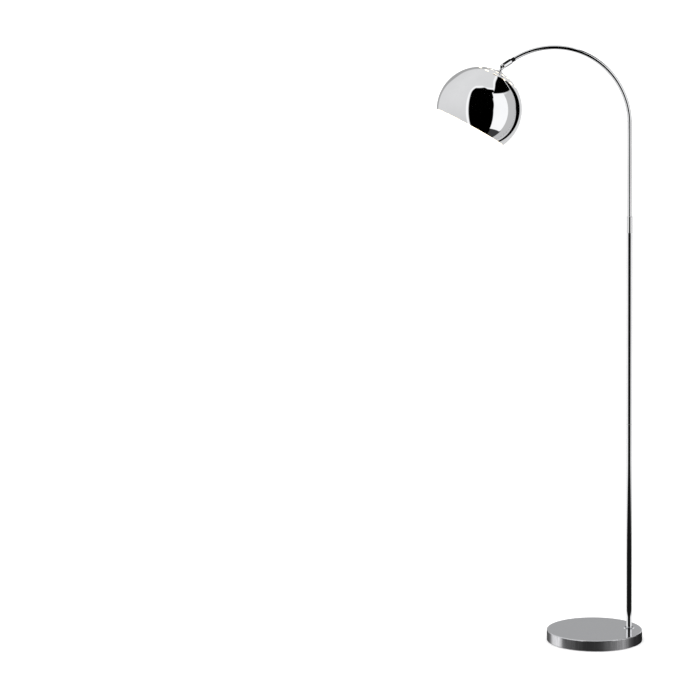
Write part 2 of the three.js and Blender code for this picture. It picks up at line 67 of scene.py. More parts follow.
POLE_R = (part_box("pole_tube_lower")[1].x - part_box("pole_tube_lower")[0].x) / 2
POLE_WALL = 0.8 * MM
ARM_R = (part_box("arm_tube")[1].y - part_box("arm_tube")[0].y) / 2
ARM_WALL = 0.8 * MM
ARC_R = 224 * MM
ARC_Z = 1513 * MM
ARC_SWEEP = math.radians(121.5)
ARM_TAIL = 24 * MM

SLEEVE_R = 7.5 * MM
SLEEVE_LENGTH = 36 * MM
SLEEVE_START = 6 * MM
FORK_SLOT = 6 * MM
PIVOT_ALONG = SLEEVE_LENGTH - SLEEVE_R

SHADE_TILT = math.radians(29.8)
DOME_R = 121 * MM
DOME_WALL = 1 * MM
CROWN_DEPTH = 18.4 * MM
DOME_DEPTH = CROWN_DEPTH + DOME_R
RIM_DROP = 56.5 * MM
STEM_HOLE = 4.3 * MM
NECK_R = 4.5 * MM
BOLT_HOLE = 2.3 * MM
RINGS = ("Upper", "Lower")

SLOPE = ARC_SWEEP - math.pi / 2
ARC_CENTRE = Vector((POLE_X - ARC_R, 0, ARC_Z))
ARM_END_DIRECTION = Vector((-math.cos(SLOPE), 0, -math.sin(SLOPE)))
ARC_END = ARC_CENTRE + ARC_R * Vector((-math.sin(SLOPE), 0, math.cos(SLOPE)))


def turned_to(direction, place):
    """A frame at a place, with its Z along a direction in the lamp's plane and its Y across it."""
    z = direction.normalized()
    y = Vector((0, 1, 0))
    x = y.cross(z)
    return Matrix.Translation(place) @ Matrix((x, y, z)).transposed().to_4x4()


POLE_FRAME = Matrix.Translation((POLE_X, 0, 0))
SLEEVE_FRAME = turned_to(ARM_END_DIRECTION, ARC_END + SLEEVE_START * ARM_END_DIRECTION)
SHADE_UP = Vector((math.sin(SHADE_TILT), 0, math.cos(SHADE_TILT)))
SHADE_FRAME = turned_to(SHADE_UP, KNUCKLE)
DOME_FRAME = SHADE_FRAME @ Matrix.Translation((0, 0, -DOME_DEPTH))


# ------------------------------------------------------------------ node graphs
class Value:
    """A socket in a node graph. Python's operators on it add Math nodes."""

    def __init__(self, graph, socket):
        self.graph, self.socket = graph, socket

    def _math(self, operation, *values):
        return self.graph.node("ShaderNodeMath", values, operation=operation)

    def __add__(self, other):
        return self._math("ADD", self, other)

    def __radd__(self, other):
        return self._math("ADD", other, self)

    def __sub__(self, other):
        return self._math("SUBTRACT", self, other)

    def __rsub__(self, other):
        return self._math("SUBTRACT", other, self)

    def __mul__(self, other):
        return self._math("MULTIPLY", self, other)

    def __rmul__(self, other):
        return self._math("MULTIPLY", other, self)

    def __truediv__(self, other):
        return self._math("DIVIDE", self, other)

    def __rtruediv__(self, other):
        return self._math("DIVIDE", other, self)

    def __pow__(self, other):
        return self._math("POWER", self, other)

    def __neg__(self):
        return self._math("MULTIPLY", self, -1.0)

    def call(self, operation, *others):
        """Any other Math operation, with this value first."""
        return self._math(operation, self, *others)


class Graph:
    """A node tree, filled by one method."""

    def __init__(self, tree):
        self.tree = tree
        tree.nodes.clear()

    def node(self, kind, inputs=(), output=0, stops=None, **settings):
        """Adds a node. Inputs are values or links, by position in a tuple or by name in a dict,
        and a list of links goes into one socket that takes several."""
        made = self.tree.nodes.new(kind)
        for name, value in settings.items():
            setattr(made, name, value)
        if stops:
            ramp = made.color_ramp
            while len(ramp.elements) < len(stops):
                ramp.elements.new(1.0)
            for element, (position, level) in zip(ramp.elements, stops):
                element.position = position
                element.color = (level, level, level, 1)
        pairs = inputs.items() if isinstance(inputs, dict) else enumerate(inputs)
        for key, value in pairs:
            self.set(made.inputs[key], value)
        return Value(self, made.outputs[output]) if made.outputs else None

    def set(self, socket, value):
        """Links a value or a list of values to a socket, or sets the socket's own number."""
        if isinstance(value, list):
            for link in value:
                self.set(socket, link)
        elif isinstance(value, Value):
            self.tree.links.new(value.socket, socket)
        else:
            socket.default_value = value

    def outputs(self, value):
        """Every output of the node that a value comes from."""
        return [Value(self, out) for out in value.socket.node.outputs]

    def separate(self, vector):
        """A vector's X, Y and Z."""
        return self.outputs(self.node("ShaderNodeSeparateXYZ", (vector,)))

    def smooth(self, value, low, high):
        """0 on low's side and 1 on high's side, smooth between them."""
        ranged = {"Value": value, "From Min": low, "From Max": high}
        return self.node("ShaderNodeMapRange", ranged, interpolation_type="SMOOTHSTEP")


class Surface(Graph):
    """A material's graph, round one Principled shader."""

    def __init__(self, name):
        self.material = bpy.data.materials.new(name)
        self.material.use_nodes = True
        super().__init__(self.material.node_tree)
        self.place = self.node("ShaderNodeTexCoord", output="Object")

    def noise(self, vector, scale, detail=3.0, roughness=0.5):
        """A noise pattern about 0.5."""
        inputs = {"Vector": vector, "Scale": scale, "Detail": detail, "Roughness": roughness}
        return self.node("ShaderNodeTexNoise", inputs, output=0)

    def stretched(self, vector, scale):
        """A vector scaled by a different number on each axis."""
        return self.node("ShaderNodeMapping", {"Vector": vector, "Scale": scale})

    def bump(self, height, distance, strength=1.0):
        """A normal that leans with a height."""
        inputs = {"Height": height, "Distance": distance, "Strength": strength}
        return self.node("ShaderNodeBump", inputs)

    def mix(self, factor, a, b):
        """A colour between two, each a tuple or a link. Its sockets are found by their place."""
        a, b = ((*colour, 1.0) if isinstance(colour, tuple) else colour for colour in (a, b))
        inputs = {0: factor, 6: a, 7: b}
        return self.node("ShaderNodeMix", inputs, output=2, data_type="RGBA")

    def finish(self, **inputs):
        """Ends the graph in a Principled shader with these inputs, by name with _ for a space."""
        names = {key.replace("_", " "): value for key, value in inputs.items()}
        shader = self.node("ShaderNodeBsdfPrincipled", names)
        self.node("ShaderNodeOutputMaterial", {"Surface": shader})
        return self.material


# ------------------------------------------------------------------ finishes
def chrome_plate(name, haze=0.035, smudge=0.05, ripple=0.00002):
    """Mirror chrome: faint smudges in the gloss and the slight ripple of polished plate."""
    s = Surface(name)
    wipes = s.noise(s.place, 9.0, 4.0, 0.6)
    specks = s.noise(s.place, 420.0, 2.0)
    rough = haze + smudge * s.smooth(wipes, 0.5, 0.8) + 0.02 * s.smooth(specks, 0.66, 0.8)
    tint = s.mix(s.smooth(wipes, 0.35, 0.75), (0.95, 0.955, 0.97), (0.88, 0.885, 0.90))
    wave = s.noise(s.place, 26.0, 1.0)
    return s.finish(
        Base_Color=tint, Metallic=1.0, Roughness=rough, Normal=s.bump(wave, ripple, 0.6)
    )


def base_chrome():
    """Chromed base: a calm mirror on top, and a side with faint upright streaks."""
    s = Surface("base_chrome")
    x, y, z = s.separate(s.place)
    radius = (x * x + y * y) ** 0.5
    side = s.smooth(radius, BASE_R - 0.9 * MM, BASE_R - 0.1 * MM)
    around = y.call("ARCTAN2", x)
    wrapped = s.node("ShaderNodeCombineXYZ", (around * 30.0, z * 12.0, 0.0))
    streaks = s.noise(wrapped, 1.0, 6.0, 0.7)
    broad = s.noise(s.node("ShaderNodeCombineXYZ", (around * 5.0, z * 9.0, 3.0)), 1.0, 3.0, 0.6)
    grain = s.noise(s.place, 700.0, 2.0, 0.6)
    wipes = s.noise(s.place, 7.0, 4.0, 0.6)
    top_rough = 0.045 + 0.04 * s.smooth(wipes, 0.45, 0.75) + 0.015 * grain
    side_rough = 0.07 + 0.12 * s.smooth(broad, 0.45, 0.75) + 0.05 * streaks
    rough = top_rough * (1.0 - side) + side_rough * side
    top_tint = s.mix(s.smooth(grain, 0.3, 0.8), (0.86, 0.87, 0.90), (0.82, 0.83, 0.86))
    side_tint = s.mix(s.smooth(streaks, 0.3, 0.7), (0.86, 0.86, 0.88), (0.60, 0.60, 0.62))
    height = side * (streaks + 0.4 * broad) + (1.0 - side) * 0.05 * grain
    return s.finish(
        Base_Color=s.mix(side, top_tint, side_tint),
        Metallic=1.0,
        Roughness=rough,
        Normal=s.bump(height, 0.03 * MM, 0.35),
    )


def shade_white():
    """White baked enamel inside the shade, with a painted warm glow: it gives off light of its own,
    standing in for the bulb's light on it.
    """
    s = Surface("shade_white")
    mottle = s.noise(s.place, 60.0, 3.0)
    peel = s.noise(s.place, 900.0, 2.0)
    tint = s.mix(mottle, (0.90, 0.87, 0.80), (0.84, 0.80, 0.72))
    return s.finish(
        Base_Color=tint,
        Roughness=0.42 + 0.12 * mottle,
        Normal=s.bump(peel, 0.02 * MM, 0.5),
        # Painted glow: the enamel gives off a warm light of its own in place of the bulb lighting
        # it.
        Emission_Color=(1.0, 0.90, 0.74, 1.0),
        Emission_Strength=0.55,
    )


def zinc_steel():
    """Bright zinc plate with a fine turned grain."""
    s = Surface("zinc_steel")
    cloud = s.noise(s.place, 140.0, 3.0)
    grain = s.noise(s.stretched(s.place, (500.0, 500.0, 6000.0)), 1.0, 2.0)
    tint = s.mix(s.smooth(cloud, 0.3, 0.7), (0.62, 0.64, 0.67), (0.50, 0.51, 0.52))
    rough = 0.28 + 0.18 * cloud
    return s.finish(
        Base_Color=tint, Metallic=1.0, Roughness=rough, Normal=s.bump(grain, 0.02 * MM, 0.4)
    )


def cast_iron():
    """Dark rough casting."""
    s = Surface("cast_iron")
    lumps = s.noise(s.place, 180.0, 6.0, 0.7)
    tint = s.mix(lumps, (0.05, 0.05, 0.052), (0.11, 0.105, 0.10))
    rough = 0.62 + 0.25 * lumps
    return s.finish(
        Base_Color=tint, Metallic=0.7, Roughness=rough, Normal=s.bump(lumps, 0.5 * MM, 0.7)
    )


def foam_pad():
    """Closed-cell foam with fine pores."""
    s = Surface("foam_pad")
    pores = s.node("ShaderNodeTexVoronoi", {"Vector": s.place, "Scale": 900.0})
    cloud = s.noise(s.place, 40.0, 3.0)
    tint = s.mix(cloud, (0.028, 0.029, 0.031), (0.05, 0.051, 0.053))
    rough = 0.86 + 0.1 * cloud
    return s.finish(
        Base_Color=tint, Roughness=rough, Normal=s.bump(pores, 0.25 * MM, 0.6)
    )


def black_plastic():
    """Moulded plastic with a fine spark-eroded texture."""
    s = Surface("black_plastic")
    texture = s.noise(s.place, 1400.0, 2.0, 0.6)
    cloud = s.noise(s.place, 50.0, 3.0)
    tint = s.mix(cloud, (0.014, 0.014, 0.016), (0.024, 0.024, 0.026))
    rough = 0.38 + 0.16 * cloud
    return s.finish(
        Base_Color=tint, Roughness=rough, Normal=s.bump(texture, 0.04 * MM, 0.5)
    )


def flex_sheath():
    """Smooth flexible sheath with faint lengthwise marks."""
    s = Surface("flex_sheath")
    marks = s.noise(s.stretched(s.place, (900.0, 900.0, 30.0)), 1.0, 2.0)
    tint = s.mix(marks, (0.02, 0.022, 0.025), (0.035, 0.037, 0.04))
    return s.finish(
        Base_Color=tint, Roughness=0.45 + 0.15 * marks, Normal=s.bump(marks, 0.03 * MM, 0.4)
    )


def stamped_brass():
    """Thin brass with some tarnish."""
    s = Surface("stamped_brass")
    tarnish = s.noise(s.place, 220.0, 4.0, 0.6)
    tint = s.mix(s.smooth(tarnish, 0.4, 0.8), (0.72, 0.53, 0.22), (0.38, 0.25, 0.10))
    return s.finish(
        Base_Color=tint,
        Metallic=1.0,
        Roughness=0.25 + 0.25 * tarnish,
        Normal=s.bump(tarnish, 0.02 * MM, 0.3),
    )


def rolled_aluminium():
    """Bare aluminium with a turned grain."""
    s = Surface("rolled_aluminium")
    grain = s.noise(s.stretched(s.place, (200.0, 200.0, 2600.0)), 1.0, 3.0)
    tint = s.mix(grain, (0.78, 0.78, 0.79), (0.60, 0.60, 0.61))
    return s.finish(
        Base_Color=tint,
        Metallic=1.0,
        Roughness=0.28 + 0.15 * grain,
        Normal=s.bump(grain, 0.02 * MM, 0.4),
    )


def opal_glass(strength):
    """Opal glass of the lit bulb, its colour and glow varying a little in soft clouds."""
    s = Surface("opal_glass")
    cloud = s.noise(s.place, 30.0, 3.0)
    glow = s.mix(s.smooth(cloud, 0.3, 0.7), (1.0, 0.86, 0.66), (1.0, 0.80, 0.58))
    return s.finish(
        Base_Color=s.mix(cloud, (0.95, 0.93, 0.88), (0.90, 0.88, 0.82)),
        Roughness=0.12 + 0.05 * cloud,
        Emission_Color=glow,
        Emission_Strength=strength,
    )


CHROME = chrome_plate("chrome_plate")
SHADE_CHROME = chrome_plate("shade_chrome", haze=0.02, smudge=0.02, ripple=0.000012)
BASE_CHROME = base_chrome()
SHADE_WHITE_PAINTED_GLOW = shade_white()
ZINC = zinc_steel()
CAST_IRON = cast_iron()
FOAM = foam_pad()
PLASTIC = black_plastic()
SHEATH = flex_sheath()
BRASS = stamped_brass()
ALUMINIUM = rolled_aluminium()
OPAL = opal_glass(strength=3.0)


# ------------------------------------------------------------------ mesh helpers
def arc(centre, radius, start, end, steps):
    """Points [r, z] on part of a circle in a profile, angles in degrees from the r axis."""
    turns = [math.radians(start + (end - start) * i / steps) for i in range(steps + 1)]
    return [(centre[0] + radius * math.cos(a), centre[1] + radius * math.sin(a)) for a in turns]


def from_bmesh(name, bm, place=Matrix.Identity(4)):
    """An object for a bmesh, which is used up. The mesh is moved and the object stays at 0."""
    bmesh.ops.remove_doubles(bm, verts=bm.verts, dist=SAME_PLACE)
    bmesh.ops.recalc_face_normals(bm, faces=bm.faces)
    mesh = bpy.data.meshes.new(name)
    bm.to_mesh(mesh)
    bm.free()
    mesh.transform(place)
    made = bpy.data.objects.new(name, mesh)
    bpy.context.scene.collection.objects.link(made)
    return made


def lathe(name, profile, sides=64, place=Matrix.Identity(4)):
    """A turned solid about Z. The profile [r, z] is closed, or starts and ends on the axis."""
    bm = bmesh.new()
    open_ended = profile[0][0] < ON_AXIS and profile[-1][0] < ON_AXIS
    columns = []
    for i in range(sides):
        a = 2 * math.pi * i / sides
        column = []
        for r, z in profile:
            column.append(bm.verts.new((r * math.cos(a), r * math.sin(a), z)))
        columns.append(column)
    count = len(profile)
    spans = range(count - 1) if open_ended else range(count)
    for i in range(sides):
        here, there = columns[i], columns[(i + 1) % sides]
        for j in spans:
            k = (j + 1) % count
            ring = [here[j], there[j], there[k], here[k]]
            if profile[j][0] < ON_AXIS:
                ring = [here[j], there[k], here[k]]
            elif profile[k][0] < ON_AXIS:
                ring = [here[j], there[j], here[k]]
            bm.faces.new(ring)
    return from_bmesh(name, bm, place)


def swept_tube(name, spots, radius, wall, sides):
    """A round open tube along spots [place, direction] in the lamp's plane."""
    bm = bmesh.new()
    across = Vector((0, 1, 0))
    rows = []
    for place, direction in spots:
        out = across.cross(direction).normalized()
        row = []
        for r in (radius, radius - wall):
            turns = [2 * math.pi * i / sides for i in range(sides)]
            ring = [place + r * (math.cos(a) * out + math.sin(a) * across) for a in turns]
            row.append([bm.verts.new(p) for p in ring])
        rows.append(row)
    for a, b in zip(rows, rows[1:]):
        for skin in (0, 1):
            for i in range(sides):
                k = (i + 1) % sides
                bm.faces.new((a[skin][i], a[skin][k], b[skin][k], b[skin][i]))
    for end in (rows[0], rows[-1]):
        for i in range(sides):
            k = (i + 1) % sides
            bm.faces.new((end[0][i], end[0][k], end[1][k], end[1][i]))
    return from_bmesh(name, bm)


def prism(name, outline, z0, z1, place=Matrix.Identity(4)):
    """A straight prism on a convex outline of [x, y] points."""
    bm = bmesh.new()
    low = [bm.verts.new((x, y, z0)) for x, y in outline]
    high = [bm.verts.new((x, y, z1)) for x, y in outline]
    bm.faces.new(low)
    bm.faces.new(high)
    for i in range(len(outline)):
        k = (i + 1) % len(outline)
        bm.faces.new((low[i], low[k], high[k], high[i]))
    return from_bmesh(name, bm, place)


def polygon(count, radius):
    """Points [x, y] of a regular polygon."""
    turns = [2 * math.pi * i / count for i in range(count)]
    return [(radius * math.cos(a), radius * math.sin(a)) for a in turns]


def rectangle(half_x, half_y):
    """Points [x, y] of a rectangle about the origin."""
    return [(-half_x, -half_y), (half_x, -half_y), (half_x, half_y), (-half_x, half_y)]


def baked(piece):
    """Replaces a piece's mesh by the one that its modifiers give, and drops them."""
    bpy.context.view_layer.update()
    seen = piece.evaluated_get(bpy.context.evaluated_depsgraph_get())
    mesh = bpy.data.meshes.new_from_object(seen)
    piece.modifiers.clear()
    piece.data = mesh
    return piece


def combine(piece, tool, operation):
    """Boolean of a piece with a tool, which is used up."""
    step = piece.modifiers.new("combine", "BOOLEAN")
    step.operation = operation
    step.solver = "EXACT"
    step.object = tool
    baked(piece)
    bpy.data.objects.remove(tool)
    return piece


def bevelled(piece, width, segments=2, limit=35):
    """Rounds the edges sharper than a limit in degrees."""
    step = piece.modifiers.new("edge", "BEVEL")
    step.width = width
    step.segments = segments
    step.limit_method = "ANGLE"
    step.angle_limit = math.radians(limit)
    step.use_clamp_overlap = True
    return baked(piece)


def show(piece, body, slot, material, *nodes, crease=32):
    """Gives a finished piece its shading, finish and body, and hides the CAD nodes that it stands
    for.
    """
    if material:
        piece.data.materials.clear()
        piece.data.materials.append(material)
    piece.data.shade_smooth()
    piece.data.set_sharp_from_angle(angle=math.radians(crease))
    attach(piece, body)
    if nodes:
        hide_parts(*nodes)
    return piece


# ------------------------------------------------------------------ stand
def base_shell():
    """The spun cover of the base, with a soft edge at its top and a turned-in foot."""
    foot = BASE_LOW.z
    edge = BASE_EDGE
    lip = 0.5 * MM
    inner = BASE_R - SHEET
    ceiling = BASE_TOP - SHEET
    profile = [
        (0, ceiling),
        (inner - edge, ceiling),
        *arc((BASE_R - edge, BASE_TOP - edge), edge - SHEET, 90, 0, 6),
        (inner, foot + lip),
        *arc((inner + SHEET / 2, foot + SHEET / 2), SHEET / 2, 180, 360, 8),
        (BASE_R, foot + 2 * lip),
        (BASE_R, BASE_TOP - edge - lip),
        *arc((BASE_R - edge, BASE_TOP - edge), edge, 0, 90, 12),
        (BASE_R - edge - lip, BASE_TOP),
        (BASE_R * 0.5, BASE_TOP),
        (0, BASE_TOP),
    ]
    return lathe("base_shell", profile, 256)


def tube_profile(z0, z1, radius, wall):
    """Profile of a straight tube with broken edges and support rings next to them."""
    chamfer = 0.25 * MM
    support = 1.0 * MM
    bore = radius - wall
    return [
        (bore, z0),
        (radius - chamfer, z0),
        (radius, z0 + chamfer),
        (radius, z0 + support),
        (radius, z1 - support),
        (radius, z1 - chamfer),
        (radius - chamfer, z1),
        (bore, z1),
    ]


def pole_tube(node):
    """One of the two straight tubes of the pole, with the height of its CAD node."""
    low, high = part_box(node)
    profile = tube_profile(low.z, high.z, POLE_R, POLE_WALL)
    return lathe(node + "_skin", profile, 64, POLE_FRAME)


def swivel_collar():
    """The chromed lip of the bush at the pole's top, and the bush inside the tube."""
    low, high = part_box("swivel_bush")
    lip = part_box("pole_tube_upper")[1].z + 0.3 * MM
    bore = 6.2 * MM
    inside = POLE_R - POLE_WALL - 0.3 * MM
    profile = [
        (bore, low.z),
        (inside, low.z),
        (inside, lip),
        (POLE_R - 0.2 * MM, lip),
        (POLE_R, lip + 0.2 * MM),
        (POLE_R, lip + 1.6 * MM),
        *arc((POLE_R - 1.2 * MM, high.z - 1.2 * MM), 1.2 * MM, 0, 90, 6),
        (bore + 0.3 * MM, high.z),
        (bore, high.z - 0.3 * MM),
    ]
    return lathe("swivel_collar", profile, 64, POLE_FRAME)


def gland_boot():
    """The cord outlet: a flanged bush with a stepped, softly rounded mouth."""
    angle = math.radians(75)
    height = 8 * MM
    out = Vector((math.cos(angle), math.sin(angle), 0))
    turn = out.to_track_quat("Z", "Y").to_matrix().to_4x4()
    place = Matrix.Translation((0, 0, height)) @ turn
    face = BASE_R + 0.3 * MM
    bore = 2.8 * MM
    profile = [
        (bore, face - 12 * MM),
        (4 * MM, face - 12 * MM),
        (4 * MM, face),
        (5.6 * MM, face),
        *arc((5.5 * MM, face + 0.5 * MM), 0.5 * MM, 0, 90, 4),
        (4.6 * MM, face + 1.2 * MM),
        (4.3 * MM, face + 2.0 * MM),
        (4.5 * MM, face + 2.4 * MM),
        (4.1 * MM, face + 3.4 * MM),
        *arc((3.4 * MM, face + 3.3 * MM), 0.6 * MM, 20, 160, 6),
    ]
    return lathe("gland_boot", profile, 40, place)


show(base_shell(), "stand", "chrome", BASE_CHROME, "base_cover", crease=50)
show(pole_tube("pole_tube_lower"), "stand", "chrome", CHROME, "pole_tube_lower")
show(pole_tube("pole_tube_upper"), "stand", "chrome", CHROME, "pole_tube_upper")
show(swivel_collar(), "stand", "chrome", CHROME, "swivel_bush")
show(gland_boot(), "stand", "black_plastic", PLASTIC, "cord_gland")


# ------------------------------------------------------------------ arm
ACROSS = Matrix.Rotation(math.pi / 2, 4, "X")
PIVOT_IN_SLEEVE = Matrix.Translation((0, 0, PIVOT_ALONG)) @ ACROSS
PIVOT_FRAME = SLEEVE_FRAME @ PIVOT_IN_SLEEVE
SCREW_IN_SLEEVE = Matrix.Translation((0, 0, 9 * MM)) @ Matrix.Rotation(-math.pi / 2, 4, "X")
SLEEVE_BORE = ARM_R + 0.3 * MM
PAST = 20 * MM  # how far a cutter goes past what it cuts


def arm_spots():
    """Places and directions along the arm: a straight foot, the arc and a short straight end."""
    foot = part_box("arm_tube")[0].z
    up = Vector((0, 0, 1))
    spots = []
    for z in (foot, foot + 1 * MM, ARC_Z - 1 * MM):
        spots.append((Vector((POLE_X, 0, z)), up))
    steps = 160
    for i in range(steps + 1):
        a = ARC_SWEEP * i / steps
        out = Vector((math.cos(a), 0, math.sin(a)))
        spots.append((ARC_CENTRE + ARC_R * out, Vector((-math.sin(a), 0, math.cos(a)))))
    for along in (1 * MM, ARM_TAIL):
        spots.append((ARC_END + along * ARM_END_DIRECTION, ARM_END_DIRECTION))
    return spots


def end_sleeve():
    """The sleeve on the arm's end, round-ended, with the slot of the knuckle's fork."""
    socket = ARM_TAIL - SLEEVE_START + 0.3 * MM
    edge = 0.6 * MM
    profile = [
        (0, socket),
        (SLEEVE_BORE, socket),
        (SLEEVE_BORE, 0),
        *arc((SLEEVE_R - edge, edge), edge, 270, 360, 5),
        (SLEEVE_R, 2 * edge),
        (SLEEVE_R, SLEEVE_LENGTH),
        (0, SLEEVE_LENGTH),
    ]
    sleeve = lathe("end_sleeve_skin", profile, 64)
    round_end = prism("round_end", polygon(96, SLEEVE_R), -PAST, PAST, PIVOT_IN_SLEEVE)
    keep = prism("keep", rectangle(PAST, PAST), -5 * MM, PIVOT_ALONG)
    combine(keep, round_end, "UNION")
    combine(sleeve, keep, "INTERSECT")
    slot_low = PIVOT_ALONG - 7 * MM
    slot = prism("slot", rectangle(PAST, FORK_SLOT / 2), slot_low, PIVOT_ALONG + PAST)
    combine(sleeve, slot, "DIFFERENCE")
    seat = SLEEVE_R - 0.9 * MM
    for ends in ((seat, PAST), (-PAST, -seat)):
        cutter = prism("seat", polygon(48, 4.4 * MM), *ends, PIVOT_IN_SLEEVE)
        combine(sleeve, cutter, "DIFFERENCE")
    bolt_hole = prism("bolt_hole", polygon(32, BOLT_HOLE), -PAST, PAST, PIVOT_IN_SLEEVE)
    combine(sleeve, bolt_hole, "DIFFERENCE")
    wire_hole = prism("wire_hole", polygon(24, 3 * MM), 10 * MM, 40 * MM)
    combine(sleeve, wire_hole, "DIFFERENCE")
    screw_hole = prism("screw_hole", polygon(24, 1.8 * MM), 3 * MM, PAST, SCREW_IN_SLEEVE)
    combine(sleeve, screw_hole, "DIFFERENCE")
    bevelled(sleeve, 0.25 * MM)
    sleeve.data.transform(SLEEVE_FRAME)
    return sleeve


def socket_bolt():
    """The knuckle's bolt, with a rounded head and a hexagon socket."""
    head = SLEEVE_R - 0.6 * MM
    top = head + 2.5 * MM
    profile = [
        (0, -head - 3.4 * MM),
        (1.6 * MM, -head - 3.4 * MM),
        (2 * MM, -head - 3.0 * MM),
        (2 * MM, head),
        (3.4 * MM, head),
        (3.6 * MM, head + 0.2 * MM),
        (3.6 * MM, head + 1.5 * MM),
        *arc((2.6 * MM, head + 1.5 * MM), 1.0 * MM, 0, 90, 6),
        (0, top),
    ]
    bolt = lathe("socket_bolt", profile, 48)
    hexagon = prism("hexagon", polygon(6, 1.5 * MM), top - 1.6 * MM, top + 1 * MM)
    combine(bolt, hexagon, "DIFFERENCE")
    bolt.data.transform(PIVOT_FRAME)
    return bolt


def hex_nut(name, z0, z1, across_flats, bore, turned, place):
    """A hexagon nut between two heights. Its corners are cut by a turned profile."""
    radius = across_flats / 2 / math.cos(math.pi / 6)
    nut = prism(name, polygon(6, radius), z0, z1)
    combine(nut, lathe("turned_down", turned, 48), "INTERSECT")
    combine(nut, prism("bore", polygon(32, bore), z0 - MM, z1 + MM), "DIFFERENCE")
    nut.data.transform(place)
    return nut


def knuckle_nut():
    """The knuckle's nut, with its outer corners chamfered."""
    z1 = -(SLEEVE_R - 0.6 * MM)
    z0 = z1 - 3 * MM
    corner, over_face = 4.1 * MM, z1 + 0.1 * MM
    turned = [(0, z0), (3.4 * MM, z0), (corner, z0 + 0.6 * MM), (corner, over_face), (0, over_face)]
    return hex_nut("knuckle_nut_skin", z0, z1, 7 * MM, BOLT_HOLE, turned, PIVOT_FRAME)


def flat_washer(name, z0, z1, bore, radius, broken, sides, place):
    """A washer between two heights, with its outer edges broken."""
    profile = [
        (bore, z0),
        (radius - broken, z0),
        (radius, z0 + broken),
        (radius, z1 - broken),
        (radius - broken, z1),
        (bore, z1),
    ]
    return lathe(name, profile, sides, place)


def knuckle_washer(node):
    """A friction washer of the knuckle."""
    low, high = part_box(node)
    near, far = sorted((-low.y, -high.y))
    radius, broken = 5.5 * MM, 0.15 * MM
    return flat_washer(node + "_skin", near, far, BOLT_HOLE, radius, broken, 48, PIVOT_FRAME)


def grub_screw():
    """The sleeve's set screw with its hexagon socket, on the sleeve's back."""
    z0, z1 = SLEEVE_BORE, SLEEVE_R - 0.2 * MM
    chamfer = 0.2 * MM
    profile = [(0, z0), (1.5 * MM, z0), (1.5 * MM, z1 - chamfer), (1.3 * MM, z1), (0, z1)]
    screw = lathe("grub_screw", profile, 32)
    hexagon = prism("hexagon", polygon(6, 0.85 * MM), z1 - 0.6 * MM, z1 + MM)
    combine(screw, hexagon, "DIFFERENCE")
    screw.data.transform(SLEEVE_FRAME @ SCREW_IN_SLEEVE)
    return screw


arm_skin = swept_tube("arm_tube_skin", arm_spots(), ARM_R, ARM_WALL, 48)
show(arm_skin, "arm", "chrome", CHROME, "arm_tube")
show(end_sleeve(), "arm", "chrome", CHROME, "end_sleeve")
show(socket_bolt(), "arm", "chrome", CHROME, "knuckle_bolt")
show(knuckle_nut(), "arm", "chrome", CHROME, "knuckle_nut")
for washer in ("knuckle_washer_front", "knuckle_washer_back"):
    show(knuckle_washer(washer), "arm", "zinc_steel", ZINC, washer)
show(grub_screw(), "arm", "zinc_steel", ZINC, "sleeve_screw")


# ------------------------------------------------------------------ shade
def knuckle_stem():
    """Tongue, neck and threaded stem in one, drilled for the wires."""
    neck_top = -(SLEEVE_R + 0.7 * MM)
    cap = -15.9 * MM
    end = -32.5 * MM
    thread = 4 * MM
    profile = [
        (0, end),
        (thread - 0.5 * MM, end),
        (thread, end + 0.5 * MM),
        (thread, cap),
        (NECK_R - 0.3 * MM, cap),
        (NECK_R, cap + 0.3 * MM),
        (NECK_R, neck_top - 0.6 * MM),
        *arc((NECK_R - 0.6 * MM, neck_top - 0.6 * MM), 0.6 * MM, 0, 90, 4),
        (0, neck_top),
    ]
    stem = lathe("knuckle_stem_skin", profile, 48)
    half = 1.9 * MM
    eye = prism("eye", polygon(64, 6 * MM), -half, half, ACROSS)
    tongue = prism("tongue", rectangle(NECK_R, half), neck_top - 0.8 * MM, 0)
    combine(eye, tongue, "UNION")
    combine(stem, eye, "UNION")
    side = Matrix.Translation((0, 0, -12.6 * MM)) @ Matrix.Rotation(math.pi / 2, 4, "Y")
    for hole in (
        prism("bolt_hole", polygon(32, BOLT_HOLE), -9 * MM, 9 * MM, ACROSS),
        prism("bore", polygon(24, 2.5 * MM), end - MM, -11 * MM),
        prism("window", polygon(24, 1.8 * MM), -PAST, PAST, side),
    ):
        combine(stem, hole, "DIFFERENCE")
    bevelled(stem, 0.2 * MM)
    stem.data.transform(SHADE_FRAME)
    return stem


def crown_cap():
    """The turned collar that sits on the shade's crown."""
    foot = -CROWN_DEPTH + 0.3 * MM
    top = -16.2 * MM
    r = 11 * MM
    profile = [
        (STEM_HOLE, foot),
        (r - 0.2 * MM, foot),
        (r, foot + 0.2 * MM),
        (r, foot + 0.6 * MM),
        (r - 0.3 * MM, foot + 0.85 * MM),
        (r - 1.2 * MM, foot + 1.05 * MM),
        (7.6 * MM, top - 0.15 * MM),
        (6.9 * MM, top),
        (STEM_HOLE, top),
    ]
    return lathe("crown_cap_skin", profile, 64, SHADE_FRAME)


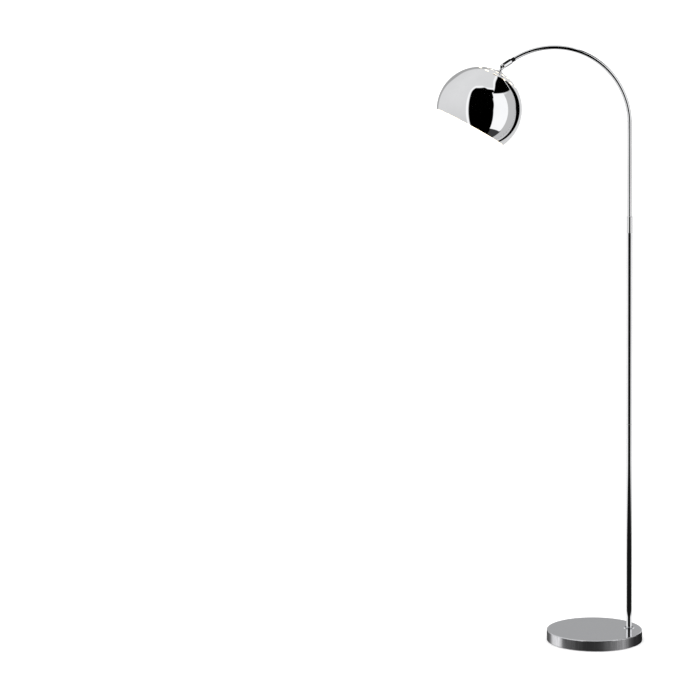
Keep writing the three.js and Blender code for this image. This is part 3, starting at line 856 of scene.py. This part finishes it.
class Recipe(Graph):
    """A Geometry Nodes tree with named inputs."""

    def __init__(self, name, **inputs):
        tree = bpy.data.node_groups.new(name, "GeometryNodeTree")
        super().__init__(tree)
        face = tree.interface
        face.new_socket("Geometry", in_out="OUTPUT", socket_type="NodeSocketGeometry")
        for key, kind in {"Geometry": "Geometry", **inputs}.items():
            label = key.replace("_", " ")
            face.new_socket(label, in_out="INPUT", socket_type="NodeSocket" + kind)
        entry = self.outputs(self.node("NodeGroupInput"))
        self.given = {out.socket.name: out for out in entry if out.socket.name}

    def vector(self, x, y, z):
        """A vector from three numbers or links."""
        return self.node("ShaderNodeCombineXYZ", (x, y, z))

    def moved(self, geometry, **change):
        """Geometry moved or turned, by the names of the node's inputs."""
        return self.node("GeometryNodeTransform", {"Geometry": geometry, **change})

    def joined(self, *parts):
        """Several geometries as one."""
        return self.node("GeometryNodeJoinGeometry", (list(parts),))

    def end(self, geometry):
        """Gives the result its material and sends it out."""
        inputs = {"Geometry": geometry, "Material": self.given["Finish"]}
        self.node("NodeGroupOutput", (self.node("GeometryNodeSetMaterial", inputs),))

    def run(self, piece, **values):
        """Runs the tree on a piece as a modifier, sets each input by its identifier, and bakes."""
        step = piece.modifiers.new(self.tree.name, "NODES")
        step.node_group = self.tree
        sockets = self.tree.interface.items_tree
        names = {i.name: i.identifier for i in sockets if i.in_out == "INPUT"}
        for key, value in values.items():
            step[names[key.replace("_", " ")]] = value
        baked(piece)


def vent_recipe():
    """Two rings of round-ended slots, cut through a dome about Z."""
    sizes = {f"{ring}_{size}": "Float" for ring in RINGS for size in ("angle", "length", "width")}
    g = Recipe(
        "vent_slots",
        Dome_radius="Float",
        Slots_per_ring="Int",
        Phase="Float",
        Finish="Material",
        **sizes,
    )
    given = g.given

    def ring_of_slots(ring):
        """Cutters of one ring, stood out on the dome and turned about its axis."""
        width, length = given[f"{ring} width"], given[f"{ring} length"]
        round_bar = {"Vertices": 24, "Radius": width / 2, "Depth": 12 * MM}
        end = g.node("GeometryNodeMeshCylinder", round_bar)
        shift = (length - width) / 2
        left = g.moved(end, Translation=g.vector(shift, 0, 0))
        right = g.moved(end, Translation=g.vector(-shift, 0, 0))
        slot = g.node("GeometryNodeConvexHull", (g.joined(left, right),))
        lifted = g.moved(slot, Translation=g.vector(0, 0, given["Dome radius"]))
        tilted = g.moved(lifted, Rotation=g.vector(given[f"{ring} angle"], 0, 0))
        points = g.node("GeometryNodePoints", {"Count": given["Slots per ring"]})
        step = 2 * math.pi / given["Slots per ring"]
        turn = (g.node("GeometryNodeInputIndex") + given["Phase"]) * step
        inputs = {"Points": points, "Instance": tilted, "Rotation": g.vector(0, 0, turn)}
        return g.node("GeometryNodeInstanceOnPoints", inputs)

    cutters = g.joined(*(ring_of_slots(ring) for ring in RINGS))
    real = g.node("GeometryNodeRealizeInstances", (cutters,))
    cut = g.node("GeometryNodeMeshBoolean", (given["Geometry"], real), operation="DIFFERENCE")
    g.end(cut)
    return g


def dome_shell():
    """The spun dome: mirror outside, white inside, a rounded rim and two rings of vent slots."""
    inner = DOME_R - DOME_WALL
    middle = DOME_R - DOME_WALL / 2
    low = -math.degrees(math.asin(RIM_DROP / DOME_R))
    high = math.degrees(math.acos((STEM_HOLE + 0.1 * MM) / DOME_R))
    rim = (middle * math.cos(math.radians(low)), middle * math.sin(math.radians(low)))
    profile = [
        *arc((0, 0), DOME_R, low, high, 110),
        *arc((0, 0), inner, high, low, 110),
        *arc(rim, DOME_WALL / 2, low + 180, low + 360, 8)[1:-1],
    ]
    dome = lathe("shade_dome_skin", profile, 240)
    vent_recipe().run(
        dome,
        Dome_radius=DOME_R,
        Slots_per_ring=14,
        Phase=0.25,
        Finish=SHADE_CHROME,
        Upper_angle=math.radians(19.5),
        Upper_length=11 * MM,
        Upper_width=6 * MM,
        Lower_angle=math.radians(31),
        Lower_length=14 * MM,
        Lower_width=6.5 * MM,
    )
    paint_inside(dome.data, middle)
    dome.data.transform(DOME_FRAME)
    return dome


def paint_inside(mesh, middle):
    """Faces inside the wall's middle get the white finish with its painted glow, and the others the
    mirror.
    """
    mesh.materials.clear()
    mesh.materials.append(SHADE_CHROME)
    mesh.materials.append(SHADE_WHITE_PAINTED_GLOW)
    for face in mesh.polygons:
        face.material_index = int(face.center.length < middle)


SKIN_FACES = 0.9  # a face of a skin looks along the radius at least this much


def round_normals(mesh, centre):
    """Exact normals on the dome's two skins, so that the mirror has no facets."""
    mesh.shade_smooth()
    mesh.set_sharp_from_angle(angle=math.radians(40))
    normals = [n.vector.copy() for n in mesh.corner_normals]
    for face in mesh.polygons:
        outward = face.normal.dot((face.center - centre).normalized())
        if abs(outward) < SKIN_FACES:
            continue
        side = 1 if outward > 0 else -1
        for corner in face.loop_indices:
            spot = mesh.vertices[mesh.loops[corner].vertex_index].co
            normals[corner] = side * (spot - centre).normalized()
    mesh.normals_split_custom_set(normals)


def stem_nut():
    """The nut that holds the shade on its stem, chamfered at both ends."""
    z1 = -(CROWN_DEPTH + DOME_WALL + 2.5 * MM)
    z0 = z1 - 4 * MM
    across_flats, chamfer = 13 * MM, 0.7 * MM
    face, corner = across_flats / 2, across_flats / 2 / math.cos(math.pi / 6)
    ends = [(0, z0), (face, z0), (corner, z0 + chamfer)]
    turned = [*ends, (corner, z1 - chamfer), (face, z1), (0, z1)]
    return hex_nut("stem_nut_skin", z0, z1, across_flats, STEM_HOLE, turned, SHADE_FRAME)


def shade_washer():
    """The washer inside the crown."""
    top = -(CROWN_DEPTH + DOME_WALL + 1.2 * MM)
    low = top - 1 * MM
    radius, broken = 10 * MM, 0.2 * MM
    return flat_washer(
        "shade_washer_skin", low, top, STEM_HOLE, radius, broken, 64, SHADE_FRAME
    )


HOLDER_TOP = -26.5 * MM
HOLDER_MOUTH = -84 * MM
HOLDER_R = 20 * MM


def holder_cap():
    """The lamp holder's upper cover, a rounded cup."""
    skirt = HOLDER_TOP - 20 * MM
    wall = 1.8 * MM
    profile = [
        (HOLDER_R, skirt),
        (HOLDER_R, HOLDER_TOP - 5 * MM),
        *arc((HOLDER_R - 5 * MM, HOLDER_TOP - 5 * MM), 5 * MM, 0, 90, 8)[1:],
        (STEM_HOLE, HOLDER_TOP),
        (STEM_HOLE, HOLDER_TOP - wall),
        *arc((HOLDER_R - 5 * MM, HOLDER_TOP - 5 * MM), 5 * MM - wall, 90, 0, 8),
        (HOLDER_R - wall, skirt),
    ]
    return lathe("holder_cap_skin", profile, 64, SHADE_FRAME)


def rib_recipe():
    """Grip ribs round a ring, each a small round bar, joined to what comes in."""
    g = Recipe(
        "grip_ribs",
        Count="Int",
        Ring_radius="Float",
        Rib_radius="Float",
        Rib_length="Float",
        Height="Float",
        Finish="Material",
    )
    given = g.given
    bar = {"Vertices": 8, "Radius": given["Rib radius"], "Depth": given["Rib length"]}
    rib = g.node("GeometryNodeMeshCylinder", bar)
    circle = {"Vertices": given["Count"], "Radius": given["Ring radius"]}
    points = g.node("GeometryNodeMeshCircle", circle)
    ring = g.moved(points, Translation=g.vector(0, 0, given["Height"]))
    ribs = g.node("GeometryNodeInstanceOnPoints", {"Points": ring, "Instance": rib})
    real = g.node("GeometryNodeRealizeInstances", (ribs,))
    g.end(g.joined(given["Geometry"], real))
    return g


def holder_body():
    """The lamp holder: a skirt that tapers to the mouth, with a ribbed ring."""
    flange = HOLDER_TOP - 20.3 * MM
    floor = -37 * MM
    bore = 13.8 * MM
    profile = [
        (bore, HOLDER_MOUTH),
        *arc((15.9 * MM, HOLDER_MOUTH + 0.8 * MM), 0.8 * MM, 270, 360, 4),
        (18.0 * MM, flange - 5.4 * MM),
        (19.3 * MM, flange - 5 * MM),
        (19.3 * MM, flange - 0.3 * MM),
        (19.0 * MM, flange),
        (17.6 * MM, flange),
        (17.6 * MM, floor + 3 * MM),
        (2.2 * MM, floor + 3 * MM),
        (2.2 * MM, floor),
        (bore, floor),
    ]
    body = lathe("holder_body_skin", profile, 64)
    rib_recipe().run(
        body,
        Count=36,
        Ring_radius=19.2 * MM,
        Rib_radius=0.75 * MM,
        Rib_length=4.2 * MM,
        Height=flange - 2.6 * MM,
        Finish=PLASTIC,
    )
    body.data.transform(SHADE_FRAME)
    return body


def bulb_cap():
    """The bulb's screw cap: a rolled thread, an insulator and the end contact."""
    top, end = -50 * MM, -72 * MM
    r = 13.1 * MM
    turns = 6
    pitch = 3.2 * MM
    wave, steps = 0.55 * MM, 8
    thread = []
    for i in range(turns * steps + 1):
        z = top - 1.4 * MM - pitch * i / steps
        thread.append((r - wave + wave * math.cos(2 * math.pi * i / steps), z))
    profile = [
        (0, end),
        (r - 0.4 * MM, end),
        *reversed(thread),
        (r - 1.5 * MM, top),
        (5 * MM, -46.5 * MM),
        (4.6 * MM, -45.2 * MM),
        *arc((2.4 * MM, -45.4 * MM), 1.4 * MM, 0, 90, 5),
        (0, -44 * MM),
    ]
    return lathe("bulb_cap_skin", profile, 64, SHADE_FRAME)


def bulb_glass():
    """The opal globe, drawn in smoothly to its neck."""
    wall = 1 * MM
    end = -156 * MM
    globe_r = 30 * MM
    centre = end + globe_r
    neck = -72.3 * MM
    leave = 38  # degrees above the globe's middle, where the outline leaves it

    def skin(inset):
        """One side of the glass, a distance inside the outline."""
        globe = arc((0, centre), globe_r - inset, -90, leave, 40)
        r0, z0 = globe[-1]
        r1, z1 = 13 * MM - inset, HOLDER_MOUTH
        turn = math.radians(leave)
        reach = 12 * MM
        # A Bezier from the globe's tangent to the straight neck.
        c0 = (r0 - reach * math.sin(turn), z0 + reach * math.cos(turn))
        c1 = (r1, z1 - 9 * MM)
        blend = []
        steps = 16
        for i in range(1, steps + 1):
            t = i / steps
            w = ((1 - t) ** 3, 3 * t * (1 - t) ** 2, 3 * t * t * (1 - t), t**3)
            spots = ((r0, z0), c0, c1, (r1, z1))
            blend.append(tuple(sum(w[k] * spots[k][axis] for k in range(4)) for axis in (0, 1)))
        return globe + blend + [(r1, neck)]

    outside, inside = skin(0), skin(wall)
    return lathe("bulb_glass_skin", outside + inside[::-1], 96, SHADE_FRAME)


show(knuckle_stem(), "shade", "chrome", CHROME, "knuckle_stem")
show(crown_cap(), "shade", "chrome", CHROME, "crown_cap")
dome = show(dome_shell(), "shade", "shade_chrome", None, "shade_dome")
round_normals(dome.data, DOME_FRAME.translation)
show(shade_washer(), "shade", "zinc_steel", ZINC, "shade_washer")
show(stem_nut(), "shade", "zinc_steel", ZINC, "stem_nut")
show(holder_cap(), "shade", "black_plastic", PLASTIC, "holder_cap")
show(holder_body(), "shade", "black_plastic", PLASTIC, "holder_body")
show(bulb_cap(), "shade", "aluminium", ALUMINIUM, "bulb_cap")
show(bulb_glass(), "shade", "white_glass", OPAL, "bulb_glass")

# ------------------------------------------------------------------ CAD nodes that stay
KEPT = {
    CAST_IRON: ["base_weight"],
    FOAM: ["base_pad"],
    ZINC: [
        "base_plate",
        *(f"base_screw_{i}" for i in range(1, 5)),
        "stud_washer",
        "stud_nut",
        "pole_stud",
        "foot_insert",
        "lower_joint_insert",
        "pole_nipple",
        "upper_joint_insert",
        "arm_retaining_ring",
    ],
    SHEATH: ["stand_flex", "arm_flex", "shade_flex"],
    BRASS: ["holder_contact"],
}
for finish, names in KEPT.items():
    for name in names:
        mesh = frame["nodes"][name].data
        mesh.materials.clear()
        mesh.materials.append(finish)


# ------------------------------------------------------------------ studio
class Sky(Graph):
    """The studio as reflections see it: a pale room with dark and bright panels round it."""

    def __init__(self):
        world = bpy.data.worlds.new("studio")
        world.use_nodes = True
        bpy.context.scene.world = world
        super().__init__(world.node_tree)
        direction = self.node("ShaderNodeTexCoord", output="Generated")
        x, y, z = self.separate(direction)
        self.azimuth = x.call("ARCTAN2", -y) * DEGREES
        self.elevation = z.call("ARCSINE") * DEGREES

    def panel(self, az, el, corner, soft=1.5):
        """1 on a round-cornered panel between two azimuths and two elevations, in degrees."""
        mid_a, half_a = (az[0] + az[1]) / 2, (az[1] - az[0]) / 2
        mid_e, half_e = (el[0] + el[1]) / 2, (el[1] - el[0]) / 2
        across = (self.azimuth - mid_a).call("ABSOLUTE") - (half_a - corner)
        up = (self.elevation - mid_e).call("ABSOLUTE") - (half_e - corner)
        out_a, out_e = across.call("MAXIMUM", 0.0), up.call("MAXIMUM", 0.0)
        reach = (out_a * out_a + out_e * out_e) ** 0.5
        inside = across.call("MAXIMUM", up).call("MINIMUM", 0.0)
        edge = reach + inside - corner
        return self.smooth(edge, soft, -soft)


def over(below, level, mask):
    """Lays a level over what is below, where the mask is 1."""
    return below * (1 - mask) + level * mask


def studio_reflections():
    """Lays the panels that the chrome shows over a pale room. Other rays see an even white."""
    sky = Sky()
    az, el = sky.azimuth, sky.elevation
    pale, grey, rear, dim, black, white = 0.65, 0.53, 0.40, 0.045, 0.0, 1.0
    light = sky.smooth(el, -70.0, 60.0) * 0.10 + pale
    for side in ((-200, -160), (160, 200)):
        light = over(light, rear, sky.panel(side, (-38, 34), 8, 4))

    # A tall black flag in front with a white edge. Its upper right corner leans out to the gable.
    raised = (el - 28.0).call("MAXIMUM", 0.0)
    corner_side = sky.smooth(az - 30.0 - 0.9 * raised, 1.0, -1.0) * sky.smooth(az, 3.0, 6.0)
    corner_top = el - 63.0 + 0.3 * (az - 5.0).call("MAXIMUM", 0.0)
    corner = corner_side * sky.smooth(el, 0.0, 2.0)
    edge = sky.panel((-48, 26), (-89, 69), 22, 1.5)
    edge = edge.call("MAXIMUM", corner * sky.smooth(corner_top, 6.0, 4.5))
    flag = sky.panel((-41, 30), (-89, 63), 18, 1.5)
    flag = flag.call("MAXIMUM", corner * sky.smooth(corner_top, 1.0, -1.0))
    light = over(light, white, edge)
    light = over(light, grey, sky.panel((72, 112), (-80, 30), 3, 1.5))
    light = over(light, dim, sky.panel((24, 76), (-89, -45), 3, 1.5))
    light = over(light, black, flag)

    # A bright window to its right.
    window_side = sky.smooth(az - 27.0 - 0.2 * el.call("MAXIMUM", 0.0), -1.0, 1.0)
    light = over(light, white, sky.panel((24, 73), (-48, 44), 3, 1.0) * window_side)

    # A dark gable over the window. Its foot slopes down to the right and its top is curved.
    foot = 49.0 - 0.2 * az
    top = 58.0 - ((az - 88.0) / 12.5) * ((az - 88.0) / 12.5)
    sides = sky.smooth(az, 28.0, 31.0) * sky.smooth(az, 136.0, 131.0)
    above = sky.smooth(el - foot, -1.0, 1.0) * sides
    light = over(light, white, above * sky.smooth(el - top, 5.5, 3.5) * sky.smooth(az, 44.0, 50.0))
    light = over(light, black, above * sky.smooth(el - top, 1.0, -1.0))

    # A narrow dark post at the right, narrower towards its ends.
    left_edge = 105.0 + 0.3 * el.call("ABSOLUTE")
    post = sky.smooth(az - left_edge, -1.0, 1.0) * sky.smooth(az, 132.0, 130.0)
    light = over(light, black, post * sky.smooth(el, -78.0, -72.0) * sky.smooth(el, 34.0, 28.0))

    seen = sky.node("ShaderNodeLightPath", output="Is Glossy Ray")
    room_light = 1.22
    level = over(room_light, light, seen)
    background = sky.node("ShaderNodeBackground", {"Color": level, "Strength": 1.0})
    sky.node("ShaderNodeOutputWorld", {"Surface": background})


def painted_reflection_wall(name, place, tones, radius, low, high, reach):
    """A thin glowing wall round an axis, seen only in reflections by surfaces nearer than its
    reach, so that it paints reflections on them.
    Its tones are a function of its graph, the turn round the axis in degrees, and the height."""
    s = Surface(name)
    x, y, z = s.separate(s.place)
    level = tones(s, x.call("ARCTAN2", -y) * DEGREES, z)
    glow = s.node("ShaderNodeEmission", {"Color": level, "Strength": 1.0})
    clear = s.node("ShaderNodeBsdfTransparent")
    near = s.node("ShaderNodeLightPath", output="Ray Length").call("LESS_THAN", reach)
    mixed = s.node("ShaderNodeMixShader", (near, clear, glow))
    s.node("ShaderNodeOutputMaterial", {"Surface": mixed})
    outer = radius + 1 * MM
    wall = lathe(name, [(radius, low), (outer, low), (outer, high), (radius, high)], 96)
    wall.matrix_world = place
    wall.data.materials.append(s.material)
    wall.visible_camera = wall.visible_diffuse = False
    wall.visible_transmission = wall.visible_shadow = False


def base_painted_reflection_tones(s, turn, height):
    """Painted reflection for the side of the base: upright stripes, as turns in degrees and levels.
    """
    stops = [
        *((-180, 0.06), (-152, 0.12), (-140, 0.24), (-125, 0.92), (-101, 0.92), (-90, 0.15)),
        *((-68, 0.11), (-50, 0.06), (-34, 0.035), (-2, 0.04), (14, 0.12), (30, 0.20)),
        *((56, 0.40), (64, 0.30), (75, 0.10), (92, 0.03), (180, 0.006)),
    ]
    ramp = [(azimuth / 360 + 0.5, level) for azimuth, level in stops]
    return s.node("ShaderNodeValToRGB", (turn / 360 + 0.5,), stops=ramp)


def pole_painted_reflection_tones(s, turn, height):
    """Painted reflection for the pole: a dark upright band in front and another behind, with a pale
    left side and a grey right side between them. The front band widens downwards, and narrows again
    just over the base."""
    up = s.smooth(height, 0.20, 0.56)
    foot = s.smooth(height, 85 * MM, 60 * MM)
    light = over(0.72 + 0.2 * up, 0.28 + 0.55 * up, s.smooth(turn, 20, 60))
    light = over(light, 0.95, foot)
    aside = (turn + 15.0).call("ABSOLUTE")
    light = over(light, 0.05, s.smooth(aside, 106.0, 116.0))
    half = 84.0 - 44.0 * up - 42.0 * foot
    return over(light, 0.008, s.smooth(aside - half, 9.0, -9.0))


def sleeve_painted_reflection_tones(s, turn, height):
    """Painted reflection for the sleeve: dark from above, white from the front, grey from below,
    and dark towards the arm.
    """
    light = over(0.12, 0.95, s.smooth(turn, -54.0, -44.0))
    light = over(light, 0.01, s.smooth(turn, 12.0, 22.0))
    return over(light, 0.01, s.smooth(height, -1.0 * MM, -2.0 * MM))


def painted_reflection_walls():
    """The walls that paint reflections on the base's side, the pole and the sleeve."""
    base = {"radius": 1.0, "low": -0.45, "high": -0.02, "reach": 1.5}
    painted_reflection_wall("base_screen", Matrix.Identity(4), base_painted_reflection_tones, **base)
    swivel_z = JOINT["arm_swivel"]["pos_m"][2]
    pole = {"radius": 14 * MM, "low": 33 * MM, "high": swivel_z, "reach": 12.2 * MM}
    painted_reflection_wall("pole_screen", POLE_FRAME, pole_painted_reflection_tones, **pole)
    sleeve = {"radius": 14 * MM, "low": -13 * MM, "high": 24 * MM, "reach": 12.5 * MM}
    painted_reflection_wall("sleeve_screen", SLEEVE_FRAME, sleeve_painted_reflection_tones, **sleeve)


def pale_floor():
    """A plain pale floor, left out of reflections."""
    s = Surface("pale_floor")
    cloud = s.noise(s.place, 1.5, 3.0)
    material = s.finish(
        Base_Color=s.mix(cloud, (0.93, 0.93, 0.93), (0.91, 0.91, 0.91)), Roughness=0.9
    )
    radius, thickness = 30.0, 0.02
    floor = prism("studio_floor", polygon(64, radius), -thickness, 0.0)
    floor.data.materials.append(material)
    floor.visible_glossy = False


def soft_light(name, azimuth, elevation, distance, size, power):
    """A square soft light round the lamp, aimed at its middle."""
    aim = Vector((-0.1, 0, 0.9))
    a, e = math.radians(azimuth), math.radians(elevation)
    out = Vector((math.sin(a) * math.cos(e), -math.cos(a) * math.cos(e), math.sin(e)))
    lamp = bpy.data.lights.new(name, "AREA")
    lamp.size = size
    lamp.energy = power
    made = bpy.data.objects.new(name, lamp)
    made.location = aim + distance * out
    made.rotation_euler = out.to_track_quat("Z", "Y").to_euler()
    made.visible_glossy = False
    bpy.context.scene.collection.objects.link(made)


def camera():
    """Eye a little above the middle of the lamp and to its left, turned and tipped down."""
    data = bpy.data.cameras.new("camera")
    data.sensor_width = 36.0
    data.lens = 127.9
    made = bpy.data.objects.new("camera", data)
    eye = Matrix.Translation((-1.754, -6.960, 1.891))
    yaw, pitch, roll = (math.radians(v) for v in (8.48, 8.11, -0.84))
    turn = Matrix.Rotation(-yaw, 4, "Z") @ Matrix.Rotation(math.pi / 2 - pitch, 4, "X")
    made.matrix_world = eye @ turn @ Matrix.Rotation(roll, 4, "Z")
    bpy.context.scene.collection.objects.link(made)
    bpy.context.scene.camera = made


studio_reflections()
pale_floor()
painted_reflection_walls()
soft_light("key", azimuth=-35, elevation=50, distance=4.0, size=2.0, power=60)
soft_light("fill", azimuth=60, elevation=30, distance=4.0, size=2.5, power=25)
camera()
bpy.context.scene.view_settings.view_transform = "Standard"
